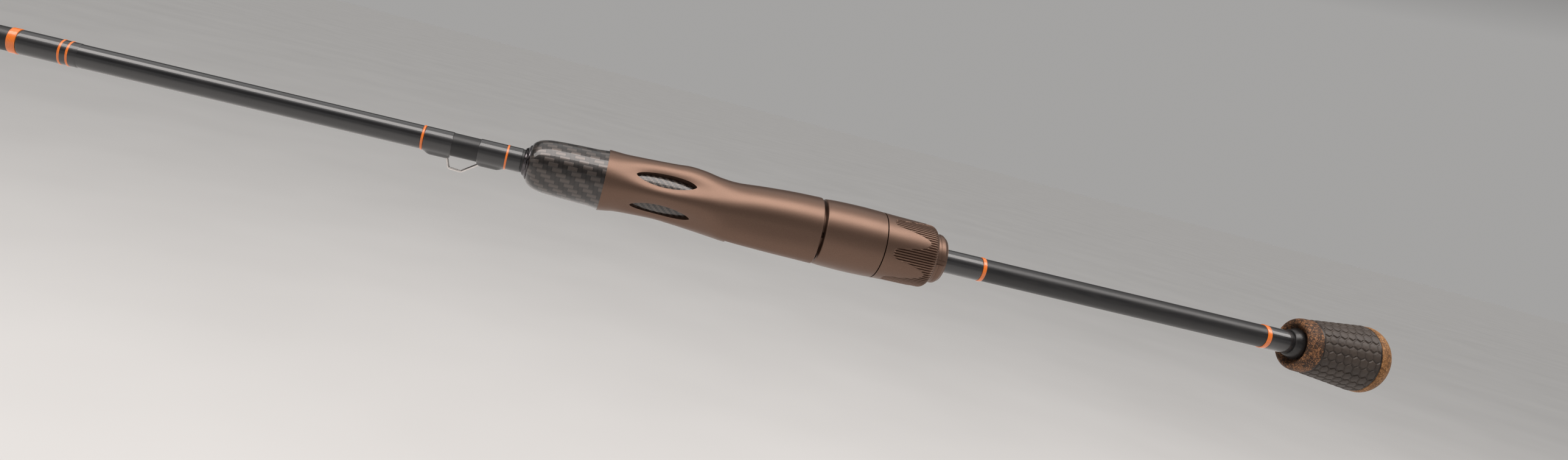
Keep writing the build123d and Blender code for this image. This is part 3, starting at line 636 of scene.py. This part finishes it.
# how quickly a scoop fades along the rod and across it
SCOOP_FADE = (2.2, 1.4)
SCOOP_DEPTHS = (2.8 * MM, 2.1 * MM, 2.8 * MM, 2.1 * MM)
SEAT_SIDE_R = 10.8 * MM
SEAT_EDGE = 0.5 * MM
DECK_FRONT = -277.0 * MM
SQUARE_START = DECK_FRONT - 14.0 * MM
ROUNDER_START = -262.0 * MM
FOOT_TIP_WIDTH = 7.2 * MM
POCKET_LENGTH = 9.0 * MM
POCKET_HEIGHT = 1.2 * MM
# a height below every piece of the seat, and how far a cutter runs past a piece's end
WELL_BELOW = -20.0 * MM
PAST = 10.0 * MM


def seat_front_rear():
    front = span("foregrip_shell")[1]
    rear = span("sliding_hood")[0] - HOOD_GAP
    return front, rear


def seat_outline():
    front, rear = seat_front_rear()
    length = rear - front
    over = [(front + share * length, top * MM) for share, top, _ in SEAT_SHAPE]
    under = [(front + share * length, low * MM) for share, _, low in SEAT_SHAPE]
    return np.array(smooth_line(over, 6)), np.array(smooth_line(under, 6))


def squared_radius(angles, side, low, power):
    """The radius of a superellipse with its half widths side and low; power 2 is an ellipse."""
    across = np.abs(np.cos(angles) / side) ** power
    down = np.abs(np.sin(angles) / low) ** power
    return (across + down) ** (-1 / power)


def make_seat_body():
    line, under = seat_outline()
    front, rear = seat_front_rear()

    def outer(x, angles):
        top = np.interp(x, line[:, 0], line[:, 1])
        low = np.interp(x, under[:, 0], under[:, 1])
        side = (top + low) / 2
        radius = side + (top - low) / 2 * np.sin(angles)
        # under the axis the section squares off into the two rails beside the reel's foot
        squared = smoothstep(SQUARE_START, DECK_FRONT, x)
        power = 2.0 + 1.6 * squared - 0.5 * smoothstep(ROUNDER_START, rear, x)
        rail = squared_radius(angles, side, low, power)
        radius = np.where(np.sin(angles) < 0, radius + (rail - radius) * squared, radius)
        fade_along, fade_across = SCOOP_FADE
        for middle, depth in zip(WINDOW_ANGLES, SCOOP_DEPTHS):
            turn = signed_turn(angles, math.radians(middle))
            reach = SCOOP_FRONT_LENGTH if x < WINDOW_MIDDLE else SCOOP_REAR_LENGTH
            along = (x - WINDOW_MIDDLE) / reach
            across = turn * SEAT_SIDE_R / SCOOP_HALF_WIDTH
            radius = radius - depth * np.exp(-(along ** 2 * fade_along + across ** 2 * fade_across))
        # only the rear end rounds over, so the front end lies far off
        return radius - SEAT_EDGE * (1 - end_dome(x, front - 1.0, rear, SEAT_EDGE))

    xs = [front, front + 0.02 * MM] + np.linspace(front + 0.3 * MM, rear - SEAT_EDGE, 190).tolist()
    xs += [rear - SEAT_EDGE * (1 - math.sin(math.pi / 2 * i / 6)) for i in range(1, 7)]
    body = skin("seat_body", xs, outer, lambda x: SEAT_BORE_R, 288)
    cutters = [window_cutter(angle) for angle in WINDOW_ANGLES]
    half_foot = FOOT_WIDTH / 2
    half_tip = FOOT_TIP_WIDTH / 2
    cutters.append(box_cutter((DECK_FRONT, -half_foot, WELL_BELOW), (rear + PAST, half_foot, -FOOT_FLOOR)))
    cutters.append(box_cutter((DECK_FRONT - POCKET_LENGTH, -half_tip, -FOOT_FLOOR - POCKET_HEIGHT),
                              (DECK_FRONT + 1 * MM, half_tip, -FOOT_FLOOR)))
    dress(cut(body, cutters), "rod", SEAT_PAINT, "seat_plastic", "reel_seat_body")


def window_cutter(angle):
    """A lens-shaped prism through the seat's wall, a little wider outside than inside."""
    edge = []
    for i in range(WINDOW_STEPS + 1):
        sweep = math.pi * i / WINDOW_STEPS
        edge.append((-WINDOW_HALF_LENGTH * math.cos(sweep), math.sin(sweep) ** WINDOW_TIP_POWER))
    loop = [(a, WINDOW_HALF_WIDTH * b) for a, b in edge]
    loop += [(a, -WINDOW_HALF_WIDTH * b) for a, b in reversed(edge[1:-1])]
    turn = math.radians(angle)
    out = Vector((0, -math.cos(turn), math.sin(turn)))
    up = Vector((0, math.sin(turn), math.cos(turn)))
    verts = []
    for radius, scale in WINDOW_ENDS:
        for a, b in loop:
            along = Vector((WINDOW_MIDDLE + a * (0.97 + 0.03 * scale), 0, 0))
            verts.append(along + out * radius + up * b * scale)
    return prism_cutter(verts, len(loop))


# ---- threaded barrel ----
THREAD_PITCH = 1.5 * MM
THREAD_DEPTH = 0.35 * MM
THREAD_FROM_FRONT = 17.0 * MM
THREAD_FROM_REAR = 6.5 * MM
KEYWAY_HALF_WIDTH = 0.85 * MM
KEYWAY_DEPTH = 0.8 * MM
COLLAR_GROOVE_FROM_REAR = 2.6 * MM
COLLAR_GROOVE_DEPTH = 0.28 * MM
COLLAR_GROOVE_WIDTH = 0.22 * MM
COLLAR_END_LENGTH = 1.9 * MM
COLLAR_END_FALL = 0.9 * MM
BARREL_FLAT_LENGTH = 18.0 * MM


def make_barrel():
    """The threaded barrel behind the seat body, with two keyways and a grooved end collar."""
    front = seat_front_rear()[1] - 0.5 * MM
    rear = span("reel_seat_body")[1]
    groove = rear - COLLAR_GROOVE_FROM_REAR

    def outer(x, angles):
        radius = BARREL_R * np.ones_like(angles)
        if front + THREAD_FROM_FRONT < x < rear - THREAD_FROM_REAR:
            phase = x / THREAD_PITCH - angles / (2 * math.pi)
            radius -= THREAD_DEPTH * (0.5 - 0.5 * np.cos(2 * math.pi * phase)) ** 0.7
        radius -= COLLAR_GROOVE_DEPTH * math.exp(-((x - groove) / COLLAR_GROOVE_WIDTH) ** 2)
        radius -= COLLAR_END_FALL * smoothstep(rear - COLLAR_END_LENGTH, rear, x) ** 2
        for side in (0, math.pi):
            across = np.abs(signed_turn(angles, side)) * BARREL_R
            radius = np.where(across < KEYWAY_HALF_WIDTH, np.minimum(radius, BARREL_R - KEYWAY_DEPTH), radius)
        flat = -FOOT_FLOOR / np.minimum(np.sin(angles), -1e-6)
        if x < front + BARREL_FLAT_LENGTH:
            radius = np.where(np.sin(angles) < 0, np.minimum(radius, flat), radius)
        return radius

    xs = np.linspace(front, rear, 240).tolist()
    barrel = skin("seat_barrel", xs, outer, lambda x: SEAT_BORE_R, 360)
    dress(barrel, "rod", SEAT_PAINT, "seat_plastic", "reel_seat_body")


# ---- sliding hood ----
HOOD_FRONT_R = 11.78 * MM
HOOD_REAR_R = 11.95 * MM
HOOD_LIP = 0.7 * MM
HOOD_CLEARANCE = 0.15 * MM
HOOD_POCKET_R = 10.9 * MM
HOOD_POCKET_DEPTH = 9.0 * MM


def make_hood():
    front, rear = span("sliding_hood")
    line = smooth_line([
        (front + HOOD_LIP, HOOD_FRONT_R),
        (front + 3 * MM, 12.0 * MM),
        (front + 8 * MM, 12.18 * MM),
        (front + 13.5 * MM, 12.27 * MM),
        (rear - 4 * MM, 12.2 * MM),
        (rear - 0.15 * MM, 12.08 * MM),
    ], 8)
    bore = BARREL_R + HOOD_CLEARANCE
    outline = arc(front + HOOD_LIP, HOOD_FRONT_R - HOOD_LIP, HOOD_LIP, 180, 90, 8) + line[1:]
    outline += [(rear, HOOD_REAR_R), (rear, bore), (front, bore)]
    hood = lathe("hood_shell", outline, 192)
    pocket = sector_cutter(front - 5 * MM, front + HOOD_POCKET_DEPTH, HOOD_POCKET_R, FOOT_WIDTH / 2)
    dress(cut(hood, [pocket]), "sliding_hood", SEAT_PAINT, "seat_plastic", "sliding_hood")


def sector_cutter(front, rear, radius, half_width):
    """A prism for the space over a reel's foot: flat sides, and a round bottom inside the wall."""
    limit = math.asin(half_width / radius)
    loop = [(radius * math.sin(a), -radius * math.cos(a)) for a in np.linspace(-limit, limit, 25)]
    loop += [(half_width, 0.0), (-half_width, 0.0)]
    verts = [(x, y, z) for x in (front, rear) for y, z in loop]
    return prism_cutter(verts, len(loop))


# ---- locking nut ----
PETALS = 6
RIBS = 78
RIB_DEPTH = 0.42 * MM
RIB_STEP = 0.10 * MM
# how far behind the nut's front the ribs start, in the middle between two petals and at a petal's tip
RIB_FRONT = 2.7 * MM
PETAL_TIP = 15.6 * MM
# a petal's half width at its foot, as a share of half the way from one petal to the next
PETAL_HALF_WIDTH = 0.72
PETAL_POWER = 2.3
RIB_FRONT_ROUND = 0.7 * MM
NUT_CORNER = 2.3 * MM
NUT_CLEARANCE = 0.2 * MM
NUT_GAP = 0.3 * MM


def make_nut():
    front = span("sliding_hood")[1] + NUT_GAP
    rear = span("locking_nut")[1]
    corner = NUT_CORNER
    bore = BARREL_R + NUT_CLEARANCE

    def base(x):
        stations = [front, front + 4.5 * MM, rear - corner]
        plain = np.interp(x, stations, [12.06 * MM, 11.95 * MM, 11.72 * MM])
        fall = max(0.0, (x - (rear - corner)) / corner)
        return plain - corner * (1 - math.sqrt(max(0.0, 1 - fall ** 2))) * 0.95

    def outer(x, angles):
        # 0 in the middle between two petals and 1 in the middle of a petal
        share = np.abs(((angles * PETALS / (2 * math.pi)) + 0.5) % 1 - 0.5) * 2
        bullet = np.clip(1 - ((1 - share) / PETAL_HALF_WIDTH) ** PETAL_POWER, 0, 1)
        rounding = np.minimum(share / (1 - PETAL_HALF_WIDTH), 1) ** 2
        edge = front + RIB_FRONT + (PETAL_TIP - RIB_FRONT) * bullet + RIB_FRONT_ROUND * rounding
        ends = 1 - smoothstep(rear - 1.1 * MM, rear - 0.5 * MM, x)
        ribbed = smoothstep(0, 0.9 * MM, x - edge) * ends
        wave = 0.5 - 0.5 * np.cos(angles * RIBS)
        groove = 1 - np.clip(wave * 1.25, 0, 1) ** 0.8
        step = RIB_STEP * smoothstep(0, 0.4 * MM, x - edge)
        return base(x) - ribbed * RIB_DEPTH * groove - step

    xs = [front, front + 0.12 * MM] + np.linspace(front + 0.3 * MM, rear - corner, 110).tolist()
    xs += [rear - corner + corner * math.sin(math.pi / 2 * i / 16) for i in range(1, 17)]
    nut = skin("nut_shell", xs, outer, lambda x: bore, RIBS * 12)
    dress(nut, "locking_nut", SEAT_PAINT, "seat_plastic", "locking_nut")


# ---- butt knob ----
KNOB_FRONT_R = 10.9 * MM
KNOB_REAR_R = 13.5 * MM
CORK_RIM_R = 8.9 * MM
ACCENT_INSET = 0.12 * MM
ACCENT_ROUND = 0.3 * MM


def knob_r(x):
    front, rear = span("knob_grip_sleeve")
    return np.interp(x, [front, rear], [KNOB_FRONT_R, KNOB_REAR_R])


def make_knob_front():
    front, rear = span("knob_front_ring")
    outer = smooth_line([
        (front, CORK_RIM_R),
        (front + 0.35 * MM, CORK_RIM_R + 0.75 * MM),
        (front + 1.3 * MM, CORK_RIM_R + 1.45 * MM),
        (front + 3.0 * MM, 10.75 * MM),
        (rear - 0.25 * MM, 10.85 * MM),
        (rear, 10.6 * MM),
    ], 8)
    dish = smooth_line([
        (front + 2.2 * MM, 6.6 * MM),
        (front + 1.7 * MM, 7.1 * MM),
        (front + 0.35 * MM, 8.2 * MM),
        (front, CORK_RIM_R),
    ], 6)
    outline = outer + [(rear, blank_r(rear)), (front + 2.2 * MM, blank_r(front))] + dish[:-1]
    dress(lathe("knob_cork_front", outline, 160), "rod", DARK_CORK, "burl_cork", "knob_front_ring")


def make_knob_check():
    front, rear = span("knob_winding_check")
    inner = blank_r(front)
    line = smooth_line([
        (front, inner + 0.25 * MM),
        (front + 0.3 * MM, inner + 0.75 * MM),
        (front + 1.4 * MM, inner + 1.25 * MM),
        (rear - 1.6 * MM, 6.35 * MM),
        (rear - 1.1 * MM, 6.5 * MM),
        (rear, 6.45 * MM),
    ], 6)
    outline = line + [(rear, inner), (front, inner)]
    dress(lathe("knob_check", outline), "rod", BLACK_RUBBER, "black_rubber", "knob_winding_check")


def make_accent_rings():
    for node in ("knob_accent_ring_front", "knob_accent_ring_rear"):
        front, rear = span(node)
        middle = (front + rear) / 2
        radius = knob_r(middle) - ACCENT_INSET
        outline = arc(middle, radius - ACCENT_ROUND, ACCENT_ROUND, 180, 0, 8)
        outline += [(rear, blank_r(rear)), (front, blank_r(front))]
        dress(lathe(node + "_trim", outline, 160), "rod", BLACK_RUBBER, "black_rubber", node)


HEX_COLUMNS = 7
HEX_ROWS = 22
HEX_RELIEF = 0.42 * MM
HEX_FLOOR = 0.30 * MM
HEX_PILLOW = 0.10 * MM
SLEEVE_BORE_R = 5.5 * MM


def make_hex_sleeve():
    """Rubber sleeve with raised hexagons in columns along the rod and offset rows round it."""
    front, rear = span("knob_grip_sleeve")
    pitch = (rear - front) / HEX_COLUMNS
    row = 2 * math.pi / HEX_ROWS

    def hexagon(x, angles):
        """How far inside its hexagon a point is, as a share of the hexagon's width."""
        best = np.full_like(angles, -1.0)
        level = angles / row
        for shift in (0, 1):
            rank = np.floor(level) + shift
            offset = (rank % 2) * 0.5
            across = level - rank
            column = (x - front) / pitch - offset
            along = column - np.round(column)
            side = 0.5 - np.abs(along)
            slant = 0.5 - (np.abs(across) * 0.75 + np.abs(along) * 0.5)
            best = np.maximum(best, np.minimum(side, slant))
        return best

    def outer(x, angles):
        inside = hexagon(x, angles)
        raised = smoothstep(0.045, 0.125, inside)
        pillow = HEX_PILLOW * smoothstep(0.1, 0.5, inside)
        ends = smoothstep(0, 0.4 * MM, min(x - front, rear - x))
        return knob_r(x) - HEX_FLOOR + (HEX_RELIEF * raised + pillow) * ends

    xs = np.linspace(front, rear, 170).tolist()
    sleeve = skin("grip_hexagons", xs, outer, lambda x: SLEEVE_BORE_R, HEX_ROWS * 26, 60)
    dress(sleeve, "rod", GRIP_RUBBER, "grip_rubber", "knob_grip_sleeve")


def make_end_cap():
    """The domed cork end; its stations count from the butt end at the origin."""
    front = span("knob_end_cap")[0]
    radius = KNOB_REAR_R
    line = smooth_line([
        (front, radius - 0.15 * MM),
        (front + 0.3 * MM, radius + 0.02 * MM),
        (-5.6 * MM, radius + 0.12 * MM),
        (-3.4 * MM, radius - 0.75 * MM),
        (-1.55 * MM, radius - 2.3 * MM),
        (-0.45 * MM, radius - 4.3 * MM),
        (0.0, radius - 6.8 * MM),
    ], 8)
    outline = line + [(0.0, 0.0), (front + 1 * MM, 0.0), (front, blank_r(front))]
    dress(lathe("knob_cork_cap", outline, 160), "rod", GOLD_CORK, "burl_cork", "knob_end_cap")


# ---- line guides and tip top ----
GUIDES = 7


def make_guides():
    for number in range(1, GUIDES + 1):
        paint_node(f"guide_{number}_frame", GUIDE_METAL)
        paint_node(f"guide_{number}_ring", CERAMIC)
        paint_node(f"guide_{number}_wraps", BLACK_THREAD)
    paint_node("guide_trim_bands", ORANGE_THREAD)
    paint_node("tip_top_tube", GUIDE_METAL)
    paint_node("tip_top_frame", GUIDE_METAL)
    paint_node("tip_top_ring", CERAMIC)
    paint_node("tip_wrap", BLACK_THREAD)


def make_inner_pieces():
    for node in ("foregrip_core", "arbor_bushings", "knob_core"):
        paint_node(node, FOAM)
    paint_node("carbon_arbor_tube", CARBON_FINE)


# ---- floor, light and camera ----
# height of a direction from 0 at the horizon to 1 overhead, and how bright the studio is there
SKY = ((0.0, 0.37), (0.20, 0.37), (0.30, 0.10), (0.62, 0.10), (0.80, 0.90), (1.0, 0.90))
FLOOR_HALF = 30.0
FLOOR_Z = -0.30


def make_floor():
    mesh = bpy.data.meshes.new("floor")
    corners = [(x * FLOOR_HALF, y * FLOOR_HALF, 0) for x, y in ((-1, -1), (1, -1), (1, 1), (-1, 1))]
    mesh.from_pydata(corners, [], [(0, 1, 2, 3)])
    floor = bpy.data.objects.new("floor", mesh)
    floor.location.z = FLOOR_Z
    bpy.context.scene.collection.objects.link(floor)
    recipe = Recipe("pale_floor", roughness=0.9, specular_ior_level=0.2)
    cloud = recipe.noise(3.0, 2.0)
    recipe.colour(recipe.ramp(cloud, (0.3, (0.70, 0.69, 0.68)), (0.7, (0.74, 0.73, 0.72))))
    mesh.materials.append(recipe.material)


def make_sky():
    world = bpy.data.worlds.new("studio")
    world.use_nodes = True
    tree = world.node_tree
    place = tree.nodes.new("ShaderNodeTexCoord")
    parts = tree.nodes.new("ShaderNodeSeparateXYZ")
    ramp = tree.nodes.new("ShaderNodeValToRGB")
    tree.links.new(place.outputs["Generated"], parts.inputs[0])
    tree.links.new(parts.outputs["Z"], ramp.inputs[0])
    tree.links.new(ramp.outputs[0], tree.nodes["Background"].inputs[0])
    while len(ramp.color_ramp.elements) < len(SKY):
        ramp.color_ramp.elements.new(0.5)
    for element, (height, grey) in zip(ramp.color_ramp.elements, SKY):
        element.position = height
        element.color = (grey, grey * 0.985, grey * 0.97, 1)
    bpy.context.scene.world = world


def soft_box(name, place, target, size, power, colour):
    light = bpy.data.lights.new(name, "AREA")
    light.shape = "RECTANGLE"
    light.size, light.size_y = size
    light.energy = power
    light.color = colour
    lamp = bpy.data.objects.new(name, light)
    lamp.location = place
    toward = (Vector(target) - Vector(place)).normalized()
    across = Vector((1, 0, 0))
    up = (-toward).cross(across).normalized()
    lamp.rotation_mode = "QUATERNION"
    lamp.rotation_quaternion = Matrix((across, up, -toward)).transposed().to_quaternion()
    lamp.visible_camera = False
    bpy.context.scene.collection.objects.link(lamp)


def make_lights():
    """One broad warm-white box, nearly overhead and a little to the camera's side."""
    handle = (-0.45, 0.0, 0.0)
    soft_box("top_box", (-0.45, -0.32, 1.05), handle, (4.0, 0.60), 30.0, (1.0, 0.95, 0.92))


TARGET = Vector((-0.2560, 0.0, -0.0025))
DISTANCE = 0.3598
# the lens's focal length as a share of the picture's width
FOCAL_TO_WIDTH = 0.64247
SENSOR_WIDTH = 36.0
YAW = 13.0
ELEVATION = 7.0
ROLL = 13.23


def make_camera():
    yaw, lift, roll = (math.radians(a) for a in (YAW, ELEVATION, ROLL))
    across = Vector((1, 0, 0))
    into = Vector((0, math.cos(lift), -math.sin(lift)))
    upward = Vector((0, math.sin(lift), math.cos(lift)))
    forward = across * math.sin(yaw) + into * math.cos(yaw)
    level = across * math.cos(yaw) - into * math.sin(yaw)
    right = level * math.cos(roll) + upward * math.sin(roll)
    up = upward * math.cos(roll) - level * math.sin(roll)
    data = bpy.data.cameras.new("camera")
    data.sensor_width = SENSOR_WIDTH
    data.lens = SENSOR_WIDTH * FOCAL_TO_WIDTH
    data.clip_start = 0.01
    data.clip_end = 200.0
    camera = bpy.data.objects.new("camera", data)
    camera.rotation_mode = "QUATERNION"
    camera.rotation_quaternion = Matrix((right, up, -forward)).transposed().to_quaternion()
    camera.location = TARGET - forward * DISTANCE
    bpy.context.scene.collection.objects.link(camera)
    bpy.context.scene.camera = camera
    bpy.context.scene.view_settings.view_transform = "Standard"


make_blank()
make_finishing()
make_band_pairs()
make_keeper()
make_foregrip()
make_seat_body()
make_barrel()
make_hood()
make_nut()
make_knob_front()
make_knob_check()
make_accent_rings()
make_hex_sleeve()
make_end_cap()
make_guides()
make_inner_pieces()
make_floor()
make_sky()
make_lights()
make_camera()
